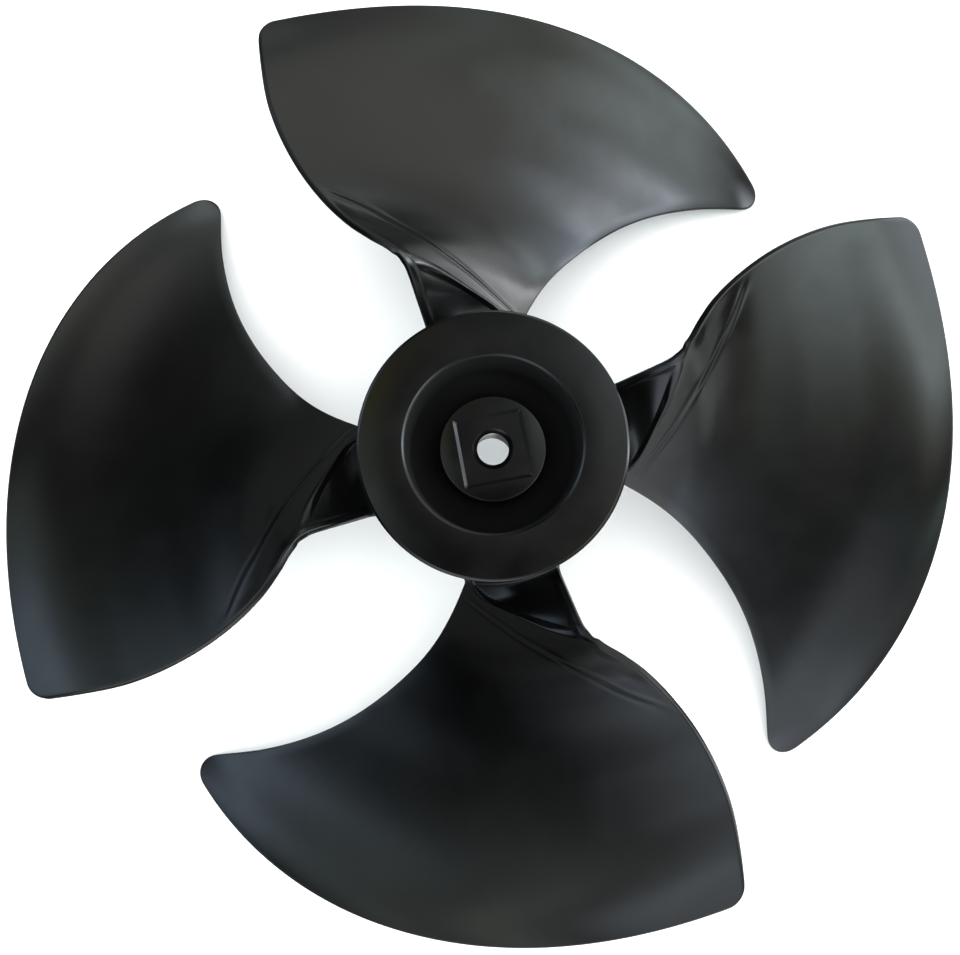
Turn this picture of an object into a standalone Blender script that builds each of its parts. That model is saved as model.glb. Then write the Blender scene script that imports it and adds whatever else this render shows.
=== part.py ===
"""Four-bladed axial fan rotor, one injection moulding, lying with its inlet side up.

Metres, +Z up. The fan axis is Z, +X is the middle of blade_1 and the origin is on the
floor under the axis. Heights below are measured from the front plane of the hub.
"""

import math

import bmesh
import bpy

MM = 0.001
GAP = 0.3

# Driving dimensions in millimetres
BLADE_COUNT = 4
TIP_RADIUS = 200.0
BLADE_THICKNESS = 3.0
LEADING_CORNER_RADIUS = 7.0
TRAILING_CORNER_RADIUS = 13.0

HUB_RADIUS = 52.8
HUB_DEPTH = 46.0
WALL = 3.0
EDGE_ROUND = 1.5
WELL_RADIUS = 34.3
WELL_DEPTH = 30.0
WELL_DRAFT = 1.0
BOSS_RADIUS = 21.6
BOSS_SET_BACK = 16.0
BOSS_CAP_THICKNESS = 5.0
BORE_RADIUS = 6.4
SLEEVE_BORE_RADIUS = 8.2
SLEEVE_RADIUS = 12.0
SLEEVE_END = 50.0
RECESS_SIDE = 28.0
RECESS_DEPTH = 1.0
RECESS_TURN = 11.0
RIB_COUNT = 8
RIB_THICKNESS = 2.5
RIB_FOOT = 43.0
ROUND_STEPS = 64

# Edges of one blade: radius, angle from the blade's middle in degrees, height
LEADING_EDGE = (
    (48.0, 28.8, 18.0),
    (57.0, 27.8, 13.5),
    (66.0, 26.8, 8.8),
    (76.0, 25.8, 4.0),
    (80.5, 26.0, 3.5),
    (87.0, 27.6, 4.5),
    (95.0, 30.6, 4.0),
    (105.0, 33.1, 2.4),
    (120.0, 34.7, 0.2),
    (138.0, 34.9, -0.5),
    (160.0, 33.6, -2.5),
    (182.0, 31.1, -6.0),
    (200.0, 29.1, -12.5),
)
TRAILING_EDGE = (
    (48.0, -11.4, -36.0),
    (54.0, -12.0, -40.5),
    (81.7, -16.8, -60.5),
    (109.5, -23.6, -75.0),
    (137.2, -30.6, -86.6),
    (165.0, -38.0, -102.0),
    (185.0, -43.3, -114.0),
    (200.0, -46.1, -125.0),
)
# Camber: most height above the straight chord at the tip, how it lies along the chord and radius
TIP_CAMBER = 20.0
CAMBER_LEADING_POWER = 2.1
CAMBER_TRAILING_POWER = 1.1
CAMBER_FROM = 105.0
CAMBER_RISE = 3.5
ROOT_SAG = 3.0

# Root web: ridge and foot of its upper bend as radius and angle, leading edge as radius and height
CREST_LINE = ((48.0, -11.0), (59.0, -6.0), (67.0, 7.0), (77.0, 18.0), (86.5, 28.2))
VALLEY_LINE = ((48.0, -10.0), (57.0, -5.0), (65.0, 8.0), (75.0, 22.0), (80.5, 26.2))
WEB_EDGE = ((48.0, -25.0), (57.0, -17.5), (66.0, -10.0), (74.0, -3.5), (80.0, 1.5), (87.0, 4.5))
WEB_DROP = 2.5

ROW_RADII = (50.5, 55.0, 60.0, 64.5, 69.0, 74.0, 78.0, 82.0, 86.5, 94.0, 106.0, 120.0,
             136.0, 154.0, 172.0, 187.0, 194.0, 197.5, 199.3, 200.0)
MAIN_COLUMNS = 7
FOLD_COLUMNS = 2
WEB_COLUMNS = 3


def smooth_value(points, x, item):
    """Value at x on a smooth curve through the points, straight beyond its ends."""
    xs = [p[0] for p in points]
    ys = [p[item] for p in points]
    last = len(xs) - 1
    k = max(0, min(last - 1, sum(1 for v in xs[1:-1] if v <= x)))
    step = xs[k + 1] - xs[k]
    chord = (ys[k + 1] - ys[k]) / step

    def slope(i):
        if i in (0, last):
            return chord
        return (ys[i + 1] - ys[i - 1]) / (xs[i + 1] - xs[i - 1])

    if x <= xs[0] or x >= xs[-1]:
        end = 0 if x <= xs[0] else last
        return ys[end] + chord * (x - xs[end])
    t = (x - xs[k]) / step
    a = ys[k] * (1 - t) ** 2 * (1 + 2 * t) + slope(k) * step * t * (1 - t) ** 2
    b = ys[k + 1] * t ** 2 * (3 - 2 * t) - slope(k + 1) * step * t ** 2 * (1 - t)
    return a + b


def ease(share):
    """Smooth step from 0 to 1."""
    t = max(0.0, min(1.0, share))
    return t * t * (3 - 2 * t)


def corner_inset(radius, corner):
    """How far a rounded corner pulls the blade's edge in at this radius, in degrees."""
    rise = radius - (TIP_RADIUS - corner)
    if rise <= 0:
        return 0.0
    return math.degrees((corner - math.sqrt(max(0.0, corner ** 2 - rise ** 2))) / radius)


def edge_angles(radius):
    """Trailing and leading angle of the blade at a radius, corners rounded."""
    trail = smooth_value(TRAILING_EDGE, radius, 1) + corner_inset(radius, TRAILING_CORNER_RADIUS)
    lead = smooth_value(LEADING_EDGE, radius, 1) - corner_inset(radius, LEADING_CORNER_RADIUS)
    return trail, lead


def camber(share):
    """Height above the straight chord at the tip, at this share of the way forward."""
    a, b = CAMBER_TRAILING_POWER, CAMBER_LEADING_POWER
    peak = (a / (a + b)) ** a * (b / (a + b)) ** b
    inside = max(0.0, min(1.0, share))
    return TIP_CAMBER * inside ** a * (1 - inside) ** b / peak


def camber_share(radius):
    """Share of the tip camber at a radius: none at the root, rising fast toward the tip."""
    return max(0.0, (radius - CAMBER_FROM) / (TIP_RADIUS - CAMBER_FROM)) ** CAMBER_RISE


def main_height(radius, angle):
    """Height of the blade's main panel at a radius and angle."""
    trail = smooth_value(TRAILING_EDGE, radius, 1)
    lead = smooth_value(LEADING_EDGE, radius, 1)
    low = smooth_value(TRAILING_EDGE, radius, 2)
    high = smooth_value(LEADING_EDGE, radius, 2)
    share = (angle - trail) / (lead - trail)
    outer = camber_share(radius)
    sag = ROOT_SAG * 4 * share * (1 - share) * (1 - outer)
    return low + (high - low) * share + camber(share) * outer - sag


def blade_height(radius, angle):
    """Height of the inlet side of the blade: main panel, then the web past its crest."""
    main = main_height(radius, angle)
    crest = smooth_value(CREST_LINE, radius, 1)
    if angle <= crest:
        return main
    fall = WEB_DROP * ease((radius - 48.0) / 8.0) * (1 - ease((radius - 74.0) / 12.0))
    ridge = main_height(radius, crest) - fall
    edge = smooth_value(WEB_EDGE, radius, 1)
    width = max(0.5, smooth_value(LEADING_EDGE, radius, 1) - crest)
    web = ridge + (edge - ridge) * (angle - crest) / width
    valley = max(crest + 1.0, smooth_value(VALLEY_LINE, radius, 1))
    bend = ease((angle - crest) / (valley - crest))
    return main + (min(web, main) - main) * bend


def row_angles(radius):
    """Angles of the mesh columns in one row, with columns along both fold lines."""
    trail, lead = edge_angles(radius)
    spread = lead - trail
    crest = (smooth_value(CREST_LINE, radius, 1) - trail) / spread
    valley = (smooth_value(VALLEY_LINE, radius, 1) - trail) / spread
    away = ease((radius - VALLEY_LINE[-1][0]) / 30.0)
    crest = min(max(crest, 0.20), 0.92) * (1 - away) + 0.72 * away
    valley = min(max(valley, crest + 0.06), 0.96) * (1 - away) + 0.86 * away
    stops = ((0.0, crest, MAIN_COLUMNS), (crest, valley, FOLD_COLUMNS), (valley, 1.0, WEB_COLUMNS))
    shares = [start + (end - start) * k / count
              for start, end, count in stops for k in range(count)]
    return [trail + spread * share for share in shares] + [lead]


def material(name, colour, roughness):
    """Moulded plastic of one colour."""
    made = bpy.data.materials.new(name)
    made.use_nodes = True
    shader = made.node_tree.nodes["Principled BSDF"]
    shader.inputs["Base Color"].default_value = (*colour, 1.0)
    shader.inputs["Roughness"].default_value = roughness
    shader.inputs["Metallic"].default_value = 0.0
    return made


def add_object(name, mesh, collection, parent, finish):
    """Link a mesh as a named object under the parent."""
    made = bpy.data.objects.new(name, mesh)
    made.parent = parent
    if finish:
        mesh.materials.append(finish)
    collection.objects.link(made)
    return made


def turned(name, profile, collection, parent, finish):
    """Ring turned about Z from a closed profile of radius and height."""
    mesh = bpy.data.meshes.new(name)
    points = [(r * MM, 0.0, z * MM) for r, z in profile]
    edges = [(k, (k + 1) % len(points)) for k in range(len(points))]
    mesh.from_pydata(points, edges, [])
    made = add_object(name, mesh, collection, parent, finish)
    screw = made.modifiers.new("turn", "SCREW")
    screw.angle = math.tau
    screw.steps = ROUND_STEPS
    screw.render_steps = ROUND_STEPS
    screw.use_merge_vertices = True
    screw.merge_threshold = 0.00001
    screw.use_smooth_shade = True
    return made


def cutter(name, made, collection):
    """Turn an object into a hidden cutter."""
    made.name = name
    for owner in list(made.users_collection):
        owner.objects.unlink(made)
    collection.objects.link(made)
    made.hide_render = True
    made.display_type = "WIRE"
    return made


def cut(target, tool):
    """Cut the tool out of the target."""
    boolean = target.modifiers.new("cut", "BOOLEAN")
    boolean.operation = "DIFFERENCE"
    boolean.solver = "EXACT"
    boolean.object = tool


def arc(centre_r, centre_z, radius, start, end, count):
    """Points of a rounded corner in a profile, angles in degrees."""
    turn = [math.radians(start + (end - start) * k / count) for k in range(count + 1)]
    return [(centre_r + radius * math.cos(a), centre_z + radius * math.sin(a)) for a in turn]


def hub_rings(collection, parent, finish):
    """Front face, skirt, well wall and well floor of the hub."""
    face = arc(WELL_RADIUS + EDGE_ROUND, -EDGE_ROUND, EDGE_ROUND, 180, 90, 3)
    face += arc(HUB_RADIUS - EDGE_ROUND, -EDGE_ROUND, EDGE_ROUND, 90, 0, 3)
    face += [(HUB_RADIUS, -WALL), (WELL_RADIUS, -WALL)]
    turned("hub_face", face, collection, parent, finish)

    top = -WALL - GAP
    turned("hub_skirt", [(HUB_RADIUS - WALL, top), (HUB_RADIUS, top), (HUB_RADIUS, -HUB_DEPTH),
                         (HUB_RADIUS - WALL, -HUB_DEPTH)], collection, parent, finish)

    foot = -WELL_DEPTH - WALL
    foot_radius = WELL_RADIUS - WELL_DRAFT
    turned("well_wall", [(WELL_RADIUS, top), (WELL_RADIUS + WALL, top),
                         (foot_radius + WALL, foot), (foot_radius, foot)],
           collection, parent, finish)
    inner, outer = BOSS_RADIUS + GAP, foot_radius - GAP
    turned("well_floor", [(inner, -WELL_DEPTH), (outer, -WELL_DEPTH), (outer, foot),
                          (inner, foot)], collection, parent, finish)


def shaft_boss(collection, cutters, parent, finish):
    """Boss in the well: cap with a square recess and the bore, wall, and rear sleeve."""
    front = -BOSS_SET_BACK
    back = front - BOSS_CAP_THICKNESS
    cap = [(BORE_RADIUS, front)]
    cap += arc(BOSS_RADIUS - 1.0, front - 1.0, 1.0, 90, 0, 2)
    cap += [(BOSS_RADIUS, back), (BORE_RADIUS, back)]
    boss_cap = turned("boss_cap", cap, collection, parent, finish)

    bpy.ops.mesh.primitive_cube_add(size=1.0)
    recess = bpy.context.object
    recess.dimensions = (RECESS_SIDE * MM, RECESS_SIDE * MM, 4 * RECESS_DEPTH * MM)
    recess.rotation_euler = (0.0, 0.0, math.radians(RECESS_TURN))
    recess.location = (0.0, 0.0, (front + RECESS_DEPTH) * MM)
    recess.parent = parent
    cut(boss_cap, cutter("recess_cutter", recess, cutters))

    top = back - GAP
    foot = -WELL_DEPTH - WALL
    turned("boss_wall", [(BOSS_RADIUS - WALL, top), (BOSS_RADIUS, top), (BOSS_RADIUS, foot),
                         (BOSS_RADIUS - WALL, foot)], collection, parent, finish)
    turned("shaft_sleeve", [(SLEEVE_BORE_RADIUS, top), (SLEEVE_RADIUS, top),
                            (SLEEVE_RADIUS, -SLEEVE_END), (SLEEVE_BORE_RADIUS, -SLEEVE_END)],
           collection, parent, finish)


def back_ribs(collection, parent, finish):
    """Radial ribs behind the hub, from the sleeve to the skirt."""
    inner = SLEEVE_RADIUS + GAP
    outer = HUB_RADIUS - WALL - GAP - 0.1
    floor = -WELL_DEPTH - WALL - GAP
    wall_foot = WELL_RADIUS - WELL_DRAFT + WALL + GAP
    wall_top = WELL_RADIUS + WALL + GAP
    outline = [(inner, floor), (wall_foot, floor), (wall_top, -WALL - 2 * GAP),
               (outer, -WALL - 2 * GAP), (outer, -RIB_FOOT), (inner, -RIB_FOOT)]
    for number in range(RIB_COUNT):
        curve = bpy.data.curves.new(f"back_rib_{number + 1}", "CURVE")
        curve.dimensions = "2D"
        curve.fill_mode = "BOTH"
        curve.extrude = RIB_THICKNESS * MM / 2
        spline = curve.splines.new("POLY")
        spline.points.add(len(outline) - 1)
        for point, (r, z) in zip(spline.points, outline):
            point.co = (r * MM, z * MM, 0.0, 1.0)
        spline.use_cyclic_u = True
        rib = add_object(curve.name, curve, collection, parent, finish)
        turn = math.tau * (number + 0.5) / RIB_COUNT
        rib.rotation_euler = (math.pi / 2, 0.0, turn)


def blade_mesh():
    """Open surface of the inlet side of one blade, lofted row by row."""
    form = bmesh.new()
    rows = []
    for radius in ROW_RADII:
        row = []
        for angle in row_angles(radius):
            turn = math.radians(angle)
            row.append(form.verts.new((radius * MM * math.cos(turn), radius * MM * math.sin(turn),
                                       blade_height(radius, angle) * MM)))
        rows.append(row)
    for near, far in zip(rows, rows[1:]):
        for k in range(len(near) - 1):
            form.faces.new((near[k], far[k], far[k + 1], near[k + 1]))
    mesh = bpy.data.meshes.new("blade")
    form.to_mesh(mesh)
    form.free()
    mesh.shade_smooth()
    return mesh


def blades(collection, cutters, parent, finish):
    """Four blades round the hub, each a solidified surface trimmed at the skirt."""
    bpy.ops.mesh.primitive_cylinder_add(vertices=ROUND_STEPS, radius=(HUB_RADIUS + GAP) * MM,
                                        depth=2 * TIP_RADIUS * MM)
    root = bpy.context.object
    root.parent = parent
    cutter("root_cutter", root, cutters)
    mesh = blade_mesh()
    mesh.materials.append(finish)
    for number in range(BLADE_COUNT):
        blade = add_object(f"blade_{number + 1}", mesh, collection, parent, None)
        blade.rotation_euler = (0.0, 0.0, math.tau * number / BLADE_COUNT)
        shell = blade.modifiers.new("thickness", "SOLIDIFY")
        shell.thickness = BLADE_THICKNESS * MM
        shell.offset = -1.0
        shell.use_even_offset = True
        cut(blade, root)
    return blade


def stand_on_floor(parent, blade):
    """Raise the fan until the lowest point of its blades is on the floor."""
    bpy.context.view_layer.update()
    graph = bpy.context.evaluated_depsgraph_get()
    solid = blade.evaluated_get(graph)
    lowest = min((solid.matrix_world @ vertex.co).z for vertex in solid.data.vertices)
    parent.location = (0.0, 0.0, -lowest)


def main():
    for old in list(bpy.data.objects):
        bpy.data.objects.remove(old, do_unlink=True)
    collection = bpy.data.collections.new("fan_rotor")
    cutters = bpy.data.collections.new("cutters")
    bpy.context.scene.collection.children.link(collection)
    bpy.context.scene.collection.children.link(cutters)
    frame = bpy.data.objects.new("hub_front_plane", None)
    collection.objects.link(frame)

    hub_finish = material("hub_plastic", (0.018, 0.019, 0.020), 0.32)
    blade_finish = material("blade_plastic", (0.022, 0.023, 0.024), 0.30)
    hub_rings(collection, frame, hub_finish)
    shaft_boss(collection, cutters, frame, hub_finish)
    back_ribs(collection, frame, hub_finish)
    blade = blades(collection, cutters, frame, blade_finish)
    stand_on_floor(frame, blade)


main()
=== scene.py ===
"""Studio scene of a black moulded four-bladed axial fan rotor, inlet side up on a pale floor."""

import math

import bmesh
import bpy
from mathutils import Matrix, Vector


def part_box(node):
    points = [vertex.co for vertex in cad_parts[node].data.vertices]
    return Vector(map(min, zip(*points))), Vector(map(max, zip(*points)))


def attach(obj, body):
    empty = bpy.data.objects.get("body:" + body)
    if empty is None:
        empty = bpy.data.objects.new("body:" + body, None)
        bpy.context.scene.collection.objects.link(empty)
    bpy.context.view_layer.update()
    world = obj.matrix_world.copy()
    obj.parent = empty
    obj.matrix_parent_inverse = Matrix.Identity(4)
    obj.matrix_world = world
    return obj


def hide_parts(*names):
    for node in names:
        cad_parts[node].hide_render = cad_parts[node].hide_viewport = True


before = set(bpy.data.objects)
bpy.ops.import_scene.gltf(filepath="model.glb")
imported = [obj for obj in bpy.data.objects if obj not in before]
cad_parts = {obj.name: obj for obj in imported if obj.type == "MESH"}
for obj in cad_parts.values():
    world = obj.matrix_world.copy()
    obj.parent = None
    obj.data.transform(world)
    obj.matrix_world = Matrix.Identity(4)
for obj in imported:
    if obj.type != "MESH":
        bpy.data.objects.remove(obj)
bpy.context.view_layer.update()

MM = 0.001
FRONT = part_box("hub_face")[1][2] / MM

# Blade in millimetres, heights from the front plane of the hub, as in the solids
TIP_RADIUS = 200.0
BLADE_COUNT = 4
BLADE_THICKNESS = 3.0
LEADING_CORNER_RADIUS = 7.0
TRAILING_CORNER_RADIUS = 13.0
# Edges: radius, angle in degrees, height
LEADING_EDGE = (
    (48.0, 28.8, 18.0),
    (57.0, 27.8, 13.5),
    (66.0, 26.8, 8.8),
    (76.0, 25.8, 4.0),
    (80.5, 26.0, 3.5),
    (87.0, 27.6, 4.5),
    (95.0, 30.6, 4.0),
    (105.0, 33.1, 2.4),
    (120.0, 34.7, 0.2),
    (138.0, 34.9, -0.5),
    (160.0, 33.6, -2.5),
    (182.0, 31.1, -6.0),
    (200.0, 29.1, -12.5),
)
TRAILING_EDGE = (
    (48.0, -11.4, -36.0),
    (54.0, -12.0, -40.5),
    (81.7, -16.8, -60.5),
    (109.5, -23.6, -75.0),
    (137.2, -30.6, -86.6),
    (165.0, -38.0, -102.0),
    (185.0, -43.3, -114.0),
    (200.0, -46.1, -125.0),
)
# Bulge of the main panel over its straight chord near the tip, and its sag at the root
TIP_CAMBER = 20.0
CAMBER_LEADING_POWER = 2.1
CAMBER_TRAILING_POWER = 1.1
CAMBER_FROM = 105.0
CAMBER_RISE = 3.5
ROOT_SAG = 3.0
# Root: crest and valley as radius and angle, leading edge of the web as radius and height
CREST_LINE = ((48.0, -11.0), (59.0, -6.0), (67.0, 7.0), (77.0, 18.0), (86.5, 28.2))
VALLEY_LINE = ((48.0, -10.0), (57.0, -5.0), (65.0, 8.0), (75.0, 22.0), (80.5, 26.2))
WEB_EDGE = ((48.0, -25.0), (57.0, -17.5), (66.0, -10.0), (74.0, -3.5), (80.0, 1.5), (87.0, 4.5))
WEB_DROP = 0.6

# Fine forms of the blade. The crease: radius and angle, and the share of an arc that crosses it
CREASE_LINE = ((56.0, -17.0), (61.0, -10.0), (67.0, -1.0), (73.0, 5.5), (84.5, 15.5), (98.5, 24.0),
               (106.5, 27.5), (120.0, 33.5), (130.0, 38.0))
CREASE_SLANT = 0.62
CREASE_BEND = 0.07
CREASE_SOFTNESS = 0.7
CREASE_CLEARANCE = 5.0
# Rounded lines: height, distance from what they follow, width
GROOVE = (-0.24, -0.9, 0.75)
BEAD = (0.20, 0.6, 0.75)
CREST_LIP = (0.40, 1.5, 1.4)
EDGE_LIP = (0.32, 2.0, 0.9)
# Stretch of the radius that a form covers: start, width of the rise, end, width of the fall
WEB_DROP_STRETCH = (48.0, 8.0, 74.0, 12.0)
CREASE_STRETCH = (56.0, 6.0, 118.0, 12.0)
LIP_STRETCH = (54.0, 5.0, 76.0, 10.0)
# Trailing edge rolled off toward the outlet side, and the radius and width of its end
TRAIL_ROLL = 0.45
TRAIL_ROLL_WIDTH = 5.0
TRAIL_ROLL_SLANT = 0.8
TRAIL_ROLL_END = (165.0, 25.0)
EDGE_RADIUS = 0.7
ROOT_FILLET_TOP = 2.4
ROOT_FILLET_UNDER = 1.5
ROOT_FILLET_SIDE = 3.5
ROOT_BLEND = 9.0
WEAR_REACH = 3.0

# Mesh of the blade
EDGE_STEPS = 4
COLUMNS = 150
COLUMN_STEPS = 600
NORMAL_ROUNDS = 40
SLOPE_STEP = 0.5
# Denser columns at the fold, the crease and the edges: half width in millimetres, gain
FOLD_BAND = (1.5, 2.6)
CREASE_BAND = (4.6, 3.2)
TRAILING_BAND = (6.0, 0.8)
LEADING_BAND = (3.0, 0.8)
FOLD_BAND_FALL = 34.0
CREASE_BAND_END = (120.0, 14.0)
SUNK_ROWS = (1.2, 0.5)
FINE_ROW = 1.0
FINE_ROWS_END = 104.0
WIDE_ROW = 1.7

# Studio. Soft lights round the fan: azimuth and elevation in degrees, tightness, colour
SOFT_LIGHTS = (
    (0.0, 30.0, 70.0, (2.00, 2.42, 2.89)),
    (0.0, 70.0, 300.0, (1.82, 1.50, 1.56)),
    (10.6, 20.0, 70.0, (2.46, 2.95, 3.88)),
    (20.0, 0.0, 70.0, (3.28, 3.76, 4.10)),
    (40.0, 60.0, 30.0, (0.48, 0.71, 0.75)),
    (43.2, 70.0, 300.0, (0.71, 0.70, 0.87)),
    (46.5, 30.0, 8.0, (1.21, 1.23, 1.13)),
    (80.0, 0.0, 24.0, (1.90, 2.15, 2.20)),
    (132.6, 75.0, 300.0, (0.28, 0.19, 0.00)),
    (140.9, 50.0, 24.0, (0.70, 0.81, 0.72)),
    (158.8, 20.0, 24.0, (1.35, 1.72, 2.10)),
    (166.2, 80.0, 300.0, (0.56, 0.76, 0.70)),
    (200.0, 60.0, 24.0, (1.14, 1.22, 1.14)),
    (243.9, 30.0, 24.0, (1.74, 1.91, 2.06)),
    (252.0, 65.0, 120.0, (0.94, 1.27, 1.23)),
    (270.0, 0.0, 14.0, (2.60, 2.90, 3.30)),
    (334.3, 40.0, 30.0, (2.52, 3.16, 3.42)),
    (347.1, 40.0, 8.0, (1.30, 1.27, 0.98)),
    (30.0, -4.0, 150.0, (1.20, 1.30, 1.35)),
    (62.0, 28.0, 60.0, (0.40, 0.45, 0.45)),
    (303.0, 57.0, 40.0, (0.55, 0.58, 0.55)),
    (3.0, 8.0, 260.0, (14.00, 15.20, 16.40)),
    (9.0, 28.0, 150.0, (4.60, 4.90, 5.20)),
    (46.0, 79.0, 300.0, (0.65, 0.65, 0.66)),
)
# Dark cards that shade the soft lights: azimuth, elevation, tightness, share that they take
DARK_CARDS = (
    (343.0, 10.0, 50.0, 0.97),
    (266.0, 87.0, 90.0, 0.92),
    (105.0, 34.0, 12.0, 0.35),
    (72.0, 26.0, 12.0, 0.32),
    (10.0, 42.0, 40.0, 0.28),
    (282.0, 41.0, 25.0, 0.30),
)
# Glow of the floor, seen only in the gloss of the plastic, where it paints reflected light:
# azimuth, spread power, strength, over the base
FLOOR_GLOWS = ((285.0, 20.0, 1.45), (30.0, 20.0, 0.97), (332.0, 25.0, 1.1))
FLOOR_GLOW_BASE = 0.15
# Glowing patches of the floor, seen only in the gloss, that paint reflected highlights on the
# plastic: place in metres, reach in metres, strength
FLOOR_GLOW_PATCHES = ((0.38, 0.25, 0.12, 6.5),)

# Hub in millimetres
HUB_RADIUS = 52.8
HUB_STEPS = 256
HUB_SHARP_ANGLE = 21.0
# Section of the hub: radius, height, rounding of the corner, steps of its arc
HUB_OUTLINE = (
    (51.7, 0.0, 0.5, 3), (52.8, -0.75, 0.6, 3),
    (52.7, -46.0, 0.6, 3), (49.7, -46.0, 0.6, 3),
    (49.8, -3.0, 1.6, 4), (37.4, -3.0, 1.6, 4),
    (36.4, -33.0, 0.8, 3), (18.7, -33.0, 0.8, 3),
    (18.5, -21.0, 1.2, 3), (12.3, -21.0, 1.2, 3),
    (12.0, -50.0, 0.6, 3), (8.2, -50.0, 0.5, 3),
    (8.2, -21.2, 0.0, 0), (6.4, -21.2, 0.3, 2),
    (6.4, -18.3, 0.3, 2), (8.2, -17.0, 0.0, 0),
    (8.2, -16.0, 0.0, 0), (21.6, -16.0, 0.9, 5),
    (21.9, -30.0, 4.6, 8), (33.3, -30.0, 5.4, 8),
    (34.4, -0.75, 0.5, 3), (35.5, 0.0, 0.5, 3),
)
BOSS_FRONT = -16.0
RECESS_SIDE = 28.0
RECESS_FOOT = 25.4
RECESS_DEPTH = 0.8
RECESS_TURN = 11.0
RECESS_ROUNDING = 0.7
RIB_COUNT = 8
RIB_TOP = -2.6
RIB_FOOT = 43.0
RIB_OUTLINE = ((11.6, -32.6), (36.6, -32.6), (37.6, RIB_TOP), (50.1, RIB_TOP), (50.1, -RIB_FOOT),
               (11.6, -RIB_FOOT))
RIB_HALF_THICKNESS = 1.2
RIB_DRAFT = 0.16
RIB_DRAFT_HEIGHT = 40.0
RIB_ROUNDING = 0.8
RIB_SHARP_ANGLE = 35.0

# Finish: colours, and per finish its roughness, scale of the flow marks and strength of the dust
PLASTIC_BLACK = (0.0009, 0.0009, 0.0009)
DUST_COLOUR = (0.10, 0.10, 0.095)
HUB_FINISH = (0.18, 55.0, 0.10)
BLADE_FINISH = (0.21, 32.0, 0.08)
# Duller moulding in the well, where its radius in metres times the scale lies in these ramps
WELL_ROUGHNESS = 0.90
WELL_SCALE = 20.0
WELL_RISE = (0.425, 0.455)
WELL_FALL = (0.684, 0.700)

# Camera fitted to the outline in the photo, in its pixels and degrees
PHOTO_WIDTH = 960.0
FOCAL_LENGTH = 1057.0
SENSOR_WIDTH = 36.0
VIEW_SHIFT = (-45.7, -28.1)
VIEW_TILT = (-6.42, 2.70)
VIEW_OFFSET = (-31.8, 5.6, -1055.0)
PIXEL_SIZE = 0.3854

FLOOR_SIZE = 14.0
# Colour of the floor's glow, seen only in the gloss, that paints reflected light on the plastic
FLOOR_GLOW_TINT = (0.96, 0.99, 1.0, 1.0)
BACKDROP = (0.90, 0.91, 0.92, 1.0)
OVERHEAD_HEIGHT = 2.2
OVERHEAD_SIZE = 3.2
OVERHEAD_POWER = 135.0


def smooth_value(points, x, item):
    """Value at x on a smooth curve through the points, straight beyond its ends."""
    last = len(points) - 1
    k = 0
    while k < last - 1 and points[k + 1][0] <= x:
        k += 1
    x0, x1 = points[k][0], points[k + 1][0]
    y0, y1 = points[k][item], points[k + 1][item]
    step = x1 - x0
    chord = (y1 - y0) / step

    def slope(i):
        if i in (0, last):
            return chord
        return (points[i + 1][item] - points[i - 1][item]) / (points[i + 1][0] - points[i - 1][0])

    if x <= points[0][0]:
        return y0 + chord * (x - x0)
    if x >= points[last][0]:
        return y1 + chord * (x - x1)
    t = (x - x0) / step
    a = y0 * (1 - t) ** 2 * (1 + 2 * t) + slope(k) * step * t * (1 - t) ** 2
    b = y1 * t ** 2 * (3 - 2 * t) - slope(k + 1) * step * t ** 2 * (1 - t)
    return a + b


def ease(share):
    """Smooth step from 0 to 1."""
    t = max(0.0, min(1.0, share))
    return t * t * (3 - 2 * t)


def stretch_share(radius, stretch):
    """How much of a form there is at a radius, from 0 to 1."""
    start, rise, end, fall = stretch
    return ease((radius - start) / rise) * (1 - ease((radius - end) / fall))


def rounded_line(distance, line):
    """Height of a rounded line at this distance from what it follows."""
    height, place, width = line
    return height * math.exp(-((distance - place) / width) ** 2)


def soft_ramp(x, width):
    """0 below zero and x above, with a soft bend."""
    if x > 8 * width:
        return x
    if x < -8 * width:
        return 0.0
    return width * math.log(1 + math.exp(x / width))


def camber(share):
    """Height above the straight chord at the tip, at this share of the way forward."""
    a, b = CAMBER_TRAILING_POWER, CAMBER_LEADING_POWER
    peak = (a / (a + b)) ** a * (b / (a + b)) ** b
    inside = max(0.0, min(1.0, share))
    return TIP_CAMBER * inside ** a * (1 - inside) ** b / peak


def camber_share(radius):
    """Share of the tip camber at a radius: none at the root, rising fast toward the tip."""
    return max(0.0, (radius - CAMBER_FROM) / (TIP_RADIUS - CAMBER_FROM)) ** CAMBER_RISE


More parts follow.
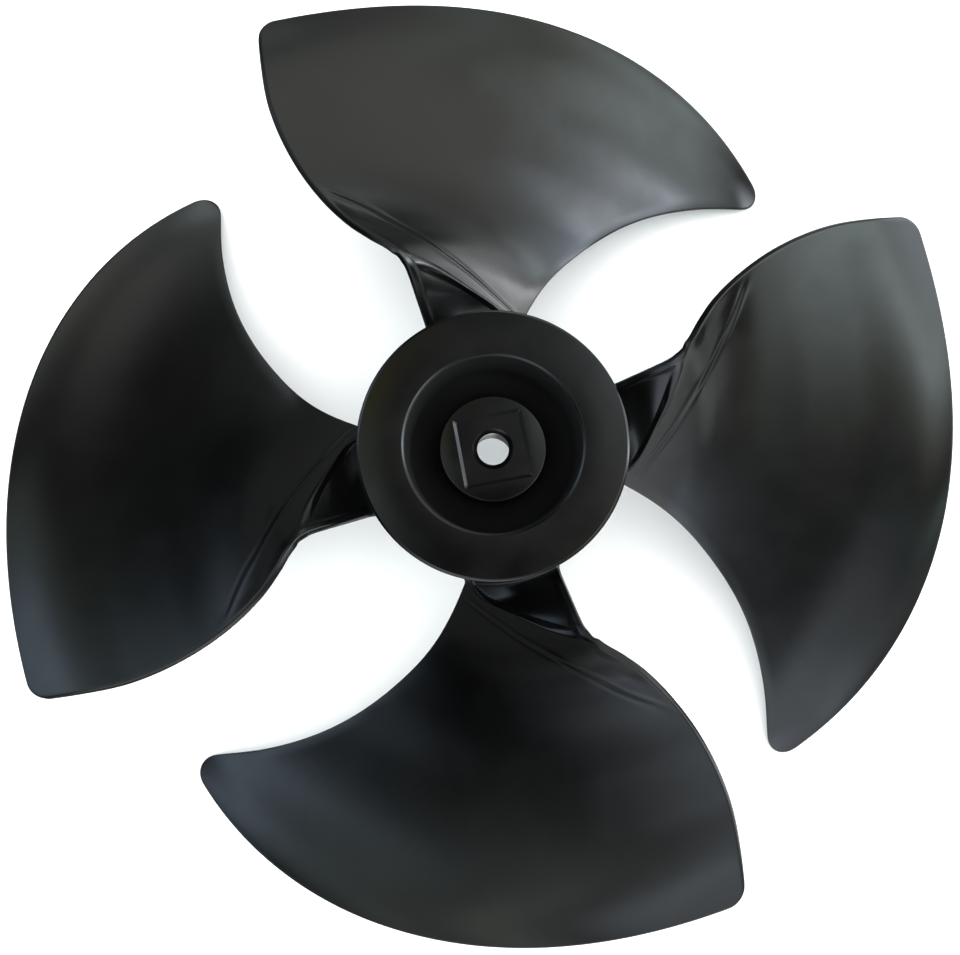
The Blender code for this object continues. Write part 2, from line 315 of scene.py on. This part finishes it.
class Section:
    """The blade cut by a cylinder of one radius."""

    def __init__(self, radius):
        self.radius = radius
        self.trail = smooth_value(TRAILING_EDGE, radius, 1)
        self.lead = smooth_value(LEADING_EDGE, radius, 1)
        self.low = smooth_value(TRAILING_EDGE, radius, 2)
        self.high = smooth_value(LEADING_EDGE, radius, 2)
        self.outer = camber_share(radius)
        self.crest = smooth_value(CREST_LINE, radius, 1)
        self.valley = max(self.crest + 1.0, smooth_value(VALLEY_LINE, radius, 1))
        self.crease = smooth_value(CREASE_LINE, radius, 1)
        self.web = smooth_value(WEB_EDGE, radius, 1)
        self.ridge = self.main(self.crest) - WEB_DROP * stretch_share(radius, WEB_DROP_STRETCH)

    def across(self, angle, origin):
        """Arc length from one angle to another, in millimetres."""
        return math.radians(angle - origin) * self.radius

    def main(self, angle):
        """Height of the main panel, with its crease and its rolled trailing edge."""
        share = (angle - self.trail) / (self.lead - self.trail)
        sag = ROOT_SAG * 4 * share * (1 - share) * (1 - self.outer)
        height = self.low + (self.high - self.low) * share + camber(share) * self.outer - sag
        past = self.across(angle, self.crease) * CREASE_SLANT
        crease = rounded_line(past, GROOVE) + rounded_line(past, BEAD)
        crease -= CREASE_BEND * soft_ramp(past, CREASE_SOFTNESS)
        crease *= stretch_share(self.radius, CREASE_STRETCH)
        crease *= ease(self.across(self.lead, angle) / CREASE_CLEARANCE)
        inside = self.across(angle, self.trail) * TRAIL_ROLL_SLANT / TRAIL_ROLL_WIDTH
        end, width = TRAIL_ROLL_END
        roll = TRAIL_ROLL * max(0.0, 1 - inside) ** 2 * (1 - ease((self.radius - end) / width))
        return height - roll + crease

    def height(self, angle):
        """Height of the inlet side: main panel, then the web past the crest with its lips."""
        main = self.main(angle)
        if angle <= self.crest:
            return main
        past = angle - self.crest
        web = self.ridge + (self.web - self.ridge) * past / max(0.5, self.lead - self.crest)
        bend = ease(past / (self.valley - self.crest))
        lips = rounded_line(self.across(angle, self.crest), CREST_LIP)
        lips += rounded_line(self.across(self.lead, angle), EDGE_LIP)
        lips *= stretch_share(self.radius, LIP_STRETCH)
        return main + (min(web, main) - main) * bend + lips

    def point(self, angle):
        """Place on the inlet side at an angle."""
        turn = math.radians(angle)
        x, y = self.radius * math.cos(turn), self.radius * math.sin(turn)
        return Vector((x, y, self.height(angle)))


def corner_inset(radius, limit, corner):
    """How far a rounded corner pulls an edge in at this radius, in degrees."""
    rise = radius - (limit - corner)
    if rise <= 0:
        return 0.0
    return math.degrees((corner - math.sqrt(max(0.0, corner ** 2 - rise ** 2))) / radius)


def edge_inset(radius, edge, inward):
    """Angle from an edge to the line that lies one edge radius inside it."""
    section = Section(radius)
    beyond, before = Section(radius + SLOPE_STEP), Section(radius - SLOPE_STEP)
    angle = getattr(section, edge)
    along = beyond.point(getattr(beyond, edge)) - before.point(getattr(before, edge))
    along.normalize()
    step = (section.point(angle + inward * SLOPE_STEP) - section.point(angle)) / SLOPE_STEP
    return EDGE_RADIUS / (step - along * step.dot(along)).length


def row_angles(radius):
    """Angles of the mesh columns in one row, denser at the fold, the crease and the edges."""
    section = Section(radius)
    limit = TIP_RADIUS - EDGE_RADIUS
    trail = section.trail + edge_inset(radius, "trail", 1)
    trail += corner_inset(radius, limit, TRAILING_CORNER_RADIUS - EDGE_RADIUS)
    lead = section.lead - edge_inset(radius, "lead", -1)
    lead -= corner_inset(radius, limit, LEADING_CORNER_RADIUS - EDGE_RADIUS)
    arc = math.radians(lead - trail) * radius
    span = section.lead - section.trail
    crest = (section.crest - section.trail) / span
    valley = (section.valley - section.trail) / span
    line = (section.crease - section.trail) / span
    fold_share = 1 - ease((radius - VALLEY_LINE[-1][0]) / FOLD_BAND_FALL)
    line_share = 1 - ease((radius - CREASE_BAND_END[0]) / CREASE_BAND_END[1])
    bands = (
        ((crest + valley) / 2, (valley - crest) / 2 + FOLD_BAND[0] / arc,
         FOLD_BAND[1] * fold_share),
        (line, CREASE_BAND[0] / arc, CREASE_BAND[1] * line_share),
        (0.0, TRAILING_BAND[0] / arc, TRAILING_BAND[1]),
        (1.0, LEADING_BAND[0] / arc, LEADING_BAND[1]),
    )
    reach = [0.0]
    for k in range(COLUMN_STEPS):
        share = (k + 0.5) / COLUMN_STEPS
        dense = [gain * math.exp(-((share - middle) / half) ** 4) for middle, half, gain in bands]
        reach.append(reach[-1] + 1 + sum(dense))
    shares, k = [], 0
    for column in range(COLUMNS + 1):
        target = reach[-1] * column / COLUMNS
        while k < COLUMN_STEPS - 1 and reach[k + 1] < target:
            k += 1
        shares.append((k + (target - reach[k]) / (reach[k + 1] - reach[k])) / COLUMN_STEPS)
    return [trail + (lead - trail) * share for share in shares]


def row_radii():
    """Radii of the rows: embedded root, root fillet, plain stretch and round tip corners."""
    radii = [HUB_RADIUS - depth for depth in SUNK_ROWS]
    radii += [HUB_RADIUS + ROOT_FILLET_SIDE * (1 - math.cos(math.radians(a)))
              for a in range(0, 91, 9)]
    while radii[-1] < FINE_ROWS_END:
        radii.append(radii[-1] + FINE_ROW)
    inner = TIP_RADIUS - TRAILING_CORNER_RADIUS
    count = round((inner - radii[-1]) / WIDE_ROW)
    start = radii[-1]
    radii += [start + (inner - start) * (k + 1) / count for k in range(count)]
    corner = TRAILING_CORNER_RADIUS - EDGE_RADIUS
    radii += [inner + corner * math.sin(math.radians(a)) for a in range(6, 91, 6)]
    return radii


def fillet(distance, radius):
    """How far a fillet stands off at this distance from the wall that it runs up."""
    if distance >= radius:
        return 0.0
    near = radius - max(0.0, distance)
    return radius - math.sqrt(radius ** 2 - near ** 2)


def grid_normals(grid, rounds):
    """Upward normals of a grid of points, then smoothed by averaging with their neighbours."""
    rows, columns = len(grid), len(grid[0])
    normals = []
    for i in range(rows):
        line = []
        for j in range(columns):
            out = grid[min(i + 1, rows - 1)][j] - grid[max(i - 1, 0)][j]
            side = grid[i][min(j + 1, columns - 1)] - grid[i][max(j - 1, 0)]
            line.append(out.cross(side).normalized())
        normals.append(line)
    for _ in range(rounds):
        for line in normals:
            old = list(line)
            for j in range(1, columns - 1):
                line[j] = (old[j - 1] + 2 * old[j] + old[j + 1]).normalized()
    return normals


def blade_skin():
    """Vertices, faces and edge shares of one blade: two skins, rounded rim and closed root."""
    radii = row_radii()
    top = []
    for radius in radii:
        section = Section(radius)
        top.append([section.point(angle) for angle in row_angles(radius)])
    normals = grid_normals(top, NORMAL_ROUNDS)
    rows, columns = len(top), len(top[0])
    flare = []
    for i, radius in enumerate(radii):
        away = radius - HUB_RADIUS
        keep = ease(away / ROOT_BLEND)
        for j in range(columns):
            out = Vector((top[i][j].x, top[i][j].y, 0.0)).normalized()
            across = normals[i][j] - out * normals[i][j].dot(out) * (1 - keep)
            normals[i][j] = across.normalized()
        flare.append((fillet(away, ROOT_FILLET_TOP), fillet(away, ROOT_FILLET_UNDER),
                      fillet(away, ROOT_FILLET_SIDE)))
    under = [[top[i][j] - normals[i][j] * (BLADE_THICKNESS + flare[i][1]) for j in range(columns)]
             for i in range(rows)]
    plain = [[point.copy() for point in line] for line in top]
    top = [[top[i][j] + normals[i][j] * flare[i][0] for j in range(columns)] for i in range(rows)]

    verts, faces, edge = [], [], []

    def add(point, share):
        verts.append(point)
        edge.append(share)
        return len(verts) - 1

    def edge_share(i, j):
        gap = min((plain[i][j] - plain[i][0]).length, (plain[i][j] - plain[i][-1]).length,
                  radii[-1] - radii[i])
        return math.exp(-gap / WEAR_REACH)

    up = [[add(top[i][j], edge_share(i, j)) for j in range(columns)] for i in range(rows)]
    down = [[add(under[i][j], edge_share(i, j)) for j in range(columns)] for i in range(rows)]
    for i in range(rows - 1):
        for j in range(columns - 1):
            faces.append((up[i][j], up[i + 1][j], up[i + 1][j + 1], up[i][j + 1]))
            faces.append((down[i][j], down[i][j + 1], down[i + 1][j + 1], down[i + 1][j]))
    loop = [(i, 0) for i in range(rows)]
    loop += [(rows - 1, j) for j in range(1, columns)]
    loop += [(i, columns - 1) for i in range(rows - 2, -1, -1)]
    last = len(loop) - 1
    rims = []
    for k, (i, j) in enumerate(loop):
        (a, b), (c, d) = loop[max(k - 1, 0)], loop[min(k + 1, last)]
        along = (plain[c][d] - plain[a][b]).normalized()
        out = along.cross(normals[i][j]).normalized()
        if radii[i] < HUB_RADIUS + ROOT_BLEND:
            radial = Vector((plain[i][j].x, plain[i][j].y, 0.0)).normalized()
            keep = ease((radii[i] - HUB_RADIUS) / ROOT_BLEND)
            out = (out - radial * out.dot(radial) * (1 - keep)).normalized()
        down_step = under[i][j] - top[i][j]
        reach = EDGE_RADIUS + flare[i][2]
        soft = min(reach, 0.48 * down_step.length)
        down_step.normalize()
        turns = [math.pi / 2 * step / EDGE_STEPS for step in range(1, EDGE_STEPS + 1)]
        bends = [(reach * math.sin(turn), soft * (1 - math.cos(turn))) for turn in turns]
        ring = [up[i][j]]
        ring += [add(top[i][j] + out * x + down_step * z, 1.0) for x, z in bends]
        ring += [add(under[i][j] + out * x - down_step * z, 1.0) for x, z in reversed(bends)]
        ring.append(down[i][j])
        rims.append(ring)
    for near, far in zip(rims, rims[1:]):
        for k in range(2 * EDGE_STEPS + 1):
            faces.append((near[k], near[k + 1], far[k + 1], far[k]))
    for j in range(columns - 1):
        faces.append((up[0][j], up[0][j + 1], down[0][j + 1], down[0][j]))
    faces.append(tuple(rims[0][::-1]))
    faces.append(tuple(rims[-1]))
    return verts, faces, edge


def mesh_object(name, verts, faces, turn=0.0):
    """Smooth mesh object from points in millimetres above the hub front, turned about the axis."""
    spin = Matrix.Rotation(turn, 3, "Z")
    lift = Vector((0.0, 0.0, FRONT))
    mesh = bpy.data.meshes.new(name)
    mesh.from_pydata([(spin @ point + lift) * MM for point in verts], [], faces)
    made = bpy.data.objects.new(name, mesh)
    bpy.context.collection.objects.link(made)
    form = bmesh.new()
    form.from_mesh(mesh)
    bmesh.ops.recalc_face_normals(form, faces=form.faces)
    form.to_mesh(mesh)
    form.free()
    mesh.shade_smooth()
    return made


def rounded(corners):
    """Closed profile with its corners rounded: each is radius, height, rounding and arc steps."""
    points = []
    for k, (r, z, size, steps) in enumerate(corners):
        here = Vector((r, z))
        before = Vector(corners[k - 1][:2]) - here
        after = Vector(corners[(k + 1) % len(corners)][:2]) - here
        if not size:
            points.append(here)
            continue
        before.normalize()
        after.normalize()
        half = before.angle(after) / 2
        centre = here + (before + after).normalized() * (size / math.sin(half))
        reach = size / math.tan(half)
        start = here + before * reach - centre
        end = here + after * reach - centre
        sweep = start.angle_signed(end)
        for step in range(steps + 1):
            turn = -sweep * step / steps
            points.append(centre + Matrix.Rotation(turn, 2) @ start)
    return points


def turned(name, profile, steps):
    """Ring turned about the axis from a closed profile."""
    verts, faces = [], []
    count = len(profile)
    for step in range(steps):
        turn = math.tau * step / steps
        verts += [Vector((p.x * math.cos(turn), p.x * math.sin(turn), p.y)) for p in profile]
    for step in range(steps):
        here, there = step * count, (step + 1) % steps * count
        for k in range(count):
            after = (k + 1) % count
            faces.append((here + k, here + after, there + after, there + k))
    return mesh_object(name, verts, faces)


def recess_cutter():
    """Square block with sloped sides and slightly rounded corners."""
    rings = []
    for side, height in ((RECESS_FOOT, BOSS_FRONT - RECESS_DEPTH), (RECESS_SIDE, BOSS_FRONT),
                         (RECESS_SIDE + 2.0, BOSS_FRONT + 1.0)):
        diagonal = (side / 2 - RECESS_ROUNDING) * math.sqrt(2)
        ring = []
        for quarter in range(4):
            corner = math.radians(90 * quarter + 45)
            for step in range(5):
                turn = math.radians(90 * quarter + 22.5 * step)
                ring.append(Vector((diagonal * math.cos(corner) + RECESS_ROUNDING * math.cos(turn),
                                    diagonal * math.sin(corner) + RECESS_ROUNDING * math.sin(turn),
                                    height)))
        rings.append(ring)
    count = len(rings[0])
    verts = [point for ring in rings for point in ring]
    faces = [tuple(range(count))[::-1], tuple(range(2 * count, 3 * count))]
    for level in range(2):
        for k in range(count):
            after = (k + 1) % count
            faces.append((level * count + k, level * count + after,
                          (level + 1) * count + after, (level + 1) * count + k))
    return mesh_object("recess_cutter", verts, faces, math.radians(RECESS_TURN))


def hub():
    """The whole hub as one seamless turned moulding with a square recess cut into its boss."""
    made = turned("hub_shell", rounded(HUB_OUTLINE), HUB_STEPS)
    tool = recess_cutter()
    boolean = made.modifiers.new("recess", "BOOLEAN")
    boolean.operation = "DIFFERENCE"
    boolean.solver = "EXACT"
    boolean.object = tool
    bpy.context.view_layer.update()
    graph = bpy.context.evaluated_depsgraph_get()
    cut_mesh = bpy.data.meshes.new_from_object(made.evaluated_get(graph))
    made.modifiers.clear()
    made.data = cut_mesh
    bpy.data.objects.remove(tool, do_unlink=True)
    made.data.shade_smooth()
    made.data.set_sharp_from_angle(angle=math.radians(HUB_SHARP_ANGLE))
    return made


def back_rib(number):
    """One rib behind the hub, thinner and rounded toward its free edge, sunk into both walls."""
    turn = math.tau * (number + 0.5) / RIB_COUNT
    curve = bpy.data.curves.new("rib", "CURVE")
    curve.dimensions = "2D"
    curve.fill_mode = "BOTH"
    curve.extrude = RIB_HALF_THICKNESS
    spline = curve.splines.new("POLY")
    spline.points.add(len(RIB_OUTLINE) - 1)
    for point, (r, z) in zip(spline.points, RIB_OUTLINE):
        point.co = (r, z, 0.0, 1.0)
    spline.use_cyclic_u = True
    holder = bpy.data.objects.new("rib", curve)
    bpy.context.collection.objects.link(holder)
    bpy.context.view_layer.update()
    graph = bpy.context.evaluated_depsgraph_get()
    flat = bpy.data.meshes.new_from_object(holder.evaluated_get(graph))
    bpy.data.objects.remove(holder, do_unlink=True)
    form = bmesh.new()
    form.from_mesh(flat)
    bmesh.ops.remove_doubles(form, verts=form.verts, dist=0.001)
    bmesh.ops.dissolve_limit(form, angle_limit=0.01, verts=form.verts, edges=form.edges)
    foot = [e for e in form.edges if all(abs(v.co.y + RIB_FOOT) < 0.01 for v in e.verts)
            and abs(e.verts[0].co.z - e.verts[1].co.z) < 0.01]
    bmesh.ops.bevel(form, geom=foot, offset=RIB_ROUNDING, segments=4, profile=0.5,
                    affect="EDGES")
    for vert in form.verts:
        draft = 1.0 - RIB_DRAFT * (RIB_TOP - vert.co.y) / RIB_DRAFT_HEIGHT
        vert.co = Vector((vert.co.x, vert.co.z * draft, vert.co.y))
    verts = [vert.co.copy() for vert in form.verts]
    form.verts.index_update()
    faces = [tuple(v.index for v in face.verts) for face in form.faces]
    form.free()
    made = mesh_object(f"back_rib_shell_{number + 1}", verts, faces, turn)
    made.data.set_sharp_from_angle(angle=math.radians(RIB_SHARP_ANGLE))
    return made


def node(tree, kind, **inputs):
    """Add a node and set its inputs by name."""
    made = tree.nodes.new(kind)
    for name, value in inputs.items():
        made.inputs[name.replace("_", " ")].default_value = value
    return made


def ramp(tree, source, stops):
    """Ramp of grey values driven by a socket."""
    made = tree.nodes.new("ShaderNodeValToRGB")
    made.color_ramp.interpolation = "EASE"
    elements = made.color_ramp.elements
    while len(elements) < len(stops):
        elements.new(0.5)
    for element, (place, value) in zip(elements, stops):
        element.position = place
        element.color = (value, value, value, 1.0)
    tree.links.new(source, made.inputs["Fac"])
    return made.outputs["Color"]


def mix(tree, kind, factor, a, b):
    """Mix two colours, each a socket or a value."""
    made = tree.nodes.new("ShaderNodeMix")
    made.data_type = "RGBA"
    made.blend_type = kind
    for socket, value in ((made.inputs[0], factor), (made.inputs[6], a), (made.inputs[7], b)):
        if hasattr(value, "links"):
            tree.links.new(value, socket)
        elif isinstance(value, tuple):
            socket.default_value = (*value, 1.0)
        else:
            socket.default_value = value
    return made.outputs[2]


def calculate(tree, operation, *values):
    """Math node on sockets and numbers."""
    made = tree.nodes.new("ShaderNodeMath")
    made.operation = operation
    for socket, value in zip(made.inputs, values):
        if hasattr(value, "links"):
            tree.links.new(value, socket)
        else:
            socket.default_value = value
    return made.outputs[0]


def combine(tree, operation, first, second):
    """Vector math node on two vectors, each a socket or a value."""
    made = tree.nodes.new("ShaderNodeVectorMath")
    made.operation = operation
    for socket, value in zip(made.inputs, (first, second)):
        if hasattr(value, "links"):
            tree.links.new(value, socket)
        else:
            socket.default_value = value
    return made


def scaled(tree, vector, strength):
    """Vector, a socket or a value, times a socket."""
    made = tree.nodes.new("ShaderNodeVectorMath")
    made.operation = "SCALE"
    if hasattr(vector, "links"):
        tree.links.new(vector, made.inputs[0])
    else:
        made.inputs[0].default_value = vector
    tree.links.new(strength, made.inputs["Scale"])
    return made.outputs["Vector"]


def facing(tree, source, azimuth, elevation):
    """Cosine between a direction socket and a fixed direction in degrees."""
    turn, rise = math.radians(azimuth), math.radians(elevation)
    fixed = (math.cos(rise) * math.cos(turn), math.cos(rise) * math.sin(turn), math.sin(rise))
    return combine(tree, "DOT_PRODUCT", source, fixed).outputs["Value"]


def soft_spot(tree, source, azimuth, elevation, tightness):
    """1 in a fixed direction, falling off softly round it."""
    away = calculate(tree, "SUBTRACT", facing(tree, source, azimuth, elevation), 1.0)
    return calculate(tree, "EXPONENT", calculate(tree, "MULTIPLY", away, tightness))


def choose(tree, ray, usual, special, output):
    """Send a shader to the output, and another one for a kind of ray."""
    choice = tree.nodes.new("ShaderNodeMixShader")
    path = tree.nodes.new("ShaderNodeLightPath")
    tree.links.new(path.outputs[ray], choice.inputs[0])
    tree.links.new(usual.outputs[0], choice.inputs[1])
    tree.links.new(special.outputs[0], choice.inputs[2])
    tree.links.new(choice.outputs[0], tree.nodes[output].inputs["Surface"])


def plastic(name, roughness, flow, dust, well=False):
    """Black moulded plastic: fine skin, flow marks, dull patches, specks and paler worn edges.

    The well of the hub is duller.
    """
    made = bpy.data.materials.new(name)
    made.use_nodes = True
    tree = made.node_tree
    shader = tree.nodes["Principled BSDF"]
    shader.inputs["IOR"].default_value = 1.5
    shader.inputs["Specular IOR Level"].default_value = 0.5
    place = tree.nodes.new("ShaderNodeTexCoord").outputs["Object"]

    def noise(scale, detail):
        texture = node(tree, "ShaderNodeTexNoise", Scale=scale, Detail=detail)
        tree.links.new(place, texture.inputs["Vector"])
        return texture.outputs["Fac"]

    def shade(factor):
        return tuple(c * factor for c in PLASTIC_BLACK)

    clouds = noise(14.0, 3.0)
    patches = noise(38.0, 3.0)
    streaks = noise(flow, 2.0)
    specks = noise(900.0, 2.0)
    skin = noise(1500.0, 2.0)
    edge = tree.nodes.new("ShaderNodeAttribute")
    edge.attribute_name = "edge"
    worn = ramp(tree, edge.outputs["Fac"], ((0.55, 0.0), (1.0, 1.0)))

    cloud_mask = ramp(tree, clouds, ((0.30, 0.0), (0.72, 1.0)))
    base = mix(tree, "MIX", cloud_mask, shade(0.80), shade(1.35))
    base = mix(tree, "MIX", ramp(tree, streaks, ((0.55, 0.0), (0.80, 0.5))), base, shade(1.6))
    speck_mask = ramp(tree, specks, ((0.735, 0.0), (0.80, dust)))
    base = mix(tree, "MIX", speck_mask, base, DUST_COLOUR)
    wear = mix(tree, "MULTIPLY", 1.0, worn, ramp(tree, patches, ((0.35, 0.1), (0.7, 0.55))))
    base = mix(tree, "MIX", wear, base, shade(2.6))
    tree.links.new(base, shader.inputs["Base Color"])

    low, high = roughness - 0.045, roughness + 0.06
    shine = ramp(tree, patches, ((0.3, low), (0.75, high)))
    shine = mix(tree, "MIX", ramp(tree, streaks, ((0.5, 0.0), (0.8, 0.35))), shine,
                (roughness + 0.1,) * 3)
    shine = mix(tree, "MIX", wear, shine, (roughness + 0.12,) * 3)
    if well:
        spot = tree.nodes.new("ShaderNodeSeparateXYZ")
        tree.links.new(place, spot.inputs[0])
        squares = [calculate(tree, "MULTIPLY", side, side) for side in spot.outputs[:2]]
        radius = calculate(tree, "SQRT", calculate(tree, "ADD", *squares))
        reach = calculate(tree, "MULTIPLY", radius, WELL_SCALE)
        outside = ramp(tree, reach, ((WELL_RISE[0], 0.0), (WELL_RISE[1], 1.0)))
        inside = ramp(tree, reach, ((WELL_FALL[0], 1.0), (WELL_FALL[1], 0.0)))
        matt = mix(tree, "MULTIPLY", 1.0, outside, inside)
        shine = mix(tree, "MIX", matt, shine, (WELL_ROUGHNESS,) * 3)
    tree.links.new(shine, shader.inputs["Roughness"])

    fine = node(tree, "ShaderNodeBump", Strength=0.10, Distance=0.00006)
    tree.links.new(skin, fine.inputs["Height"])
    broad = node(tree, "ShaderNodeBump", Strength=0.22, Distance=0.0006)
    tree.links.new(patches, broad.inputs["Height"])
    tree.links.new(fine.outputs["Normal"], broad.inputs["Normal"])
    tree.links.new(broad.outputs["Normal"], shader.inputs["Normal"])
    return made


def pale_floor():
    """Matt pale floor with a barely uneven tone; in the gloss of the plastic it is a dimmer
    glowing floor whose glows and patches paint reflected light.
    """
    made = bpy.data.materials.new("pale_floor")
    made.use_nodes = True
    made.cycles.emission_sampling = "NONE"
    tree = made.node_tree
    shader = tree.nodes["Principled BSDF"]
    shader.inputs["Roughness"].default_value = 0.9
    shader.inputs["Specular IOR Level"].default_value = 0.1
    place = tree.nodes.new("ShaderNodeTexCoord").outputs["Object"]
    texture = node(tree, "ShaderNodeTexNoise", Scale=3.0, Detail=3.0)
    tree.links.new(place, texture.inputs["Vector"])
    tree.links.new(ramp(tree, texture.outputs["Fac"], ((0.2, 0.86), (0.8, 0.90))),
                   shader.inputs["Base Color"])

    outward = tree.nodes.new("ShaderNodeVectorMath")
    outward.operation = "NORMALIZE"
    tree.links.new(place, outward.inputs[0])
    strength = FLOOR_GLOW_BASE
    for azimuth, power, level in FLOOR_GLOWS:
        toward = facing(tree, outward.outputs["Vector"], azimuth, 0.0)
        half = calculate(tree, "MULTIPLY_ADD", toward, 0.5, 0.5)
        glow = calculate(tree, "MULTIPLY", calculate(tree, "POWER", half, power), level)
        strength = calculate(tree, "ADD", glow, strength)
    for x, y, reach, level in FLOOR_GLOW_PATCHES:
        gap = combine(tree, "DISTANCE", place, (x, y, 0.0)).outputs["Value"]
        near = calculate(tree, "DIVIDE", gap, -reach)
        square = calculate(tree, "MULTIPLY", near, calculate(tree, "ABSOLUTE", near))
        fall = calculate(tree, "EXPONENT", square)
        strength = calculate(tree, "MULTIPLY_ADD", fall, level, strength)
    # Glowing floor for glossy rays only: painted reflections and highlights on the plastic
    soft = node(tree, "ShaderNodeEmission", Color=FLOOR_GLOW_TINT)
    tree.links.new(strength, soft.inputs["Strength"])
    choose(tree, "Is Glossy Ray", shader, soft, "Material Output")
    return made


def set_edge(made, values):
    """Store how near each vertex is to an edge, for the wear."""
    layer = made.data.attributes.new("edge", "FLOAT", "POINT")
    layer.data.foreach_set("value", values)


def overhead_light():
    """Soft square light straight above, left out of the gloss."""
    lamp = bpy.data.lights.new("overhead", "AREA")
    lamp.shape = "RECTANGLE"
    lamp.size = lamp.size_y = OVERHEAD_SIZE
    lamp.energy = OVERHEAD_POWER
    made = bpy.data.objects.new("overhead", lamp)
    made.location = (0.0, 0.0, OVERHEAD_HEIGHT)
    made.visible_glossy = False
    bpy.context.collection.objects.link(made)


def surroundings():
    """Studio round the fan: soft lights and dark cards, plain pale to the camera."""
    world = bpy.data.worlds.new("studio")
    bpy.context.scene.world = world
    world.use_nodes = True
    tree = world.node_tree
    place = tree.nodes.new("ShaderNodeTexCoord").outputs["Generated"]
    glow = (0.0, 0.0, 0.0)
    for azimuth, elevation, tightness, colour in SOFT_LIGHTS:
        light = scaled(tree, colour, soft_spot(tree, place, azimuth, elevation, tightness))
        glow = combine(tree, "ADD", glow, light).outputs["Vector"]
    for azimuth, elevation, tightness, share in DARK_CARDS:
        spot = soft_spot(tree, place, azimuth, elevation, tightness)
        taken = calculate(tree, "MULTIPLY", spot, share)
        glow = scaled(tree, glow, calculate(tree, "SUBTRACT", 1.0, taken))
    lit = tree.nodes["Background"]
    tree.links.new(glow, lit.inputs["Color"])
    backdrop = node(tree, "ShaderNodeBackground", Color=BACKDROP)
    choose(tree, "Is Camera Ray", lit, backdrop, "World Output")


def camera():
    """Camera fitted to the outline: close above the hub and slightly off its axis."""
    lens = bpy.data.cameras.new("photo_view")
    lens.sensor_width = SENSOR_WIDTH
    lens.lens = SENSOR_WIDTH * FOCAL_LENGTH / PHOTO_WIDTH
    lens.shift_x = VIEW_SHIFT[0] / PHOTO_WIDTH
    lens.shift_y = VIEW_SHIFT[1] / PHOTO_WIDTH
    lens.clip_start = 0.01
    made = bpy.data.objects.new("photo_view", lens)
    tilt_x, tilt_y = (math.radians(tilt) for tilt in VIEW_TILT)
    turn = Matrix.Rotation(tilt_x, 3, "X") @ Matrix.Rotation(tilt_y, 3, "Y")
    offset = Vector(VIEW_OFFSET) * PIXEL_SIZE
    place = -(turn.transposed() @ offset) + Vector((0.0, 0.0, FRONT))
    made.matrix_world = Matrix.Translation(place * MM) @ turn.transposed().to_4x4()
    bpy.context.collection.objects.link(made)
    bpy.context.scene.camera = made


def main():
    """Build the fan on its CAD frame, then the floor and the studio."""
    bpy.context.scene.view_settings.view_transform = "Standard"
    camera()
    hub_finish = plastic("hub_plastic_skin", *HUB_FINISH, well=True)
    blade_finish = plastic("blade_plastic_skin", *BLADE_FINISH)

    shell = hub()
    shell.data.materials.clear()
    shell.data.materials.append(hub_finish)
    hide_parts("hub_face", "hub_skirt", "well_wall", "well_floor", "boss_cap", "boss_wall",
                "shaft_sleeve")
    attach(shell, "root")

    for number in range(RIB_COUNT):
        rib = back_rib(number)
        rib.data.materials.append(hub_finish)
        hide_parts(f"back_rib_{number + 1}")
        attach(rib, "root")

    verts, faces, edge = blade_skin()
    for number in range(BLADE_COUNT):
        turn = math.tau * number / BLADE_COUNT
        blade = mesh_object(f"blade_shell_{number + 1}", verts, faces, turn)
        set_edge(blade, edge)
        blade.data.materials.append(blade_finish)
        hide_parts(f"blade_{number + 1}")
        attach(blade, "root")

    bpy.ops.mesh.primitive_plane_add(size=FLOOR_SIZE, location=(0.0, 0.0, 0.0))
    floor = bpy.context.object
    floor.name = "floor"
    floor.data.materials.append(pale_floor())

    surroundings()
    overhead_light()


main()
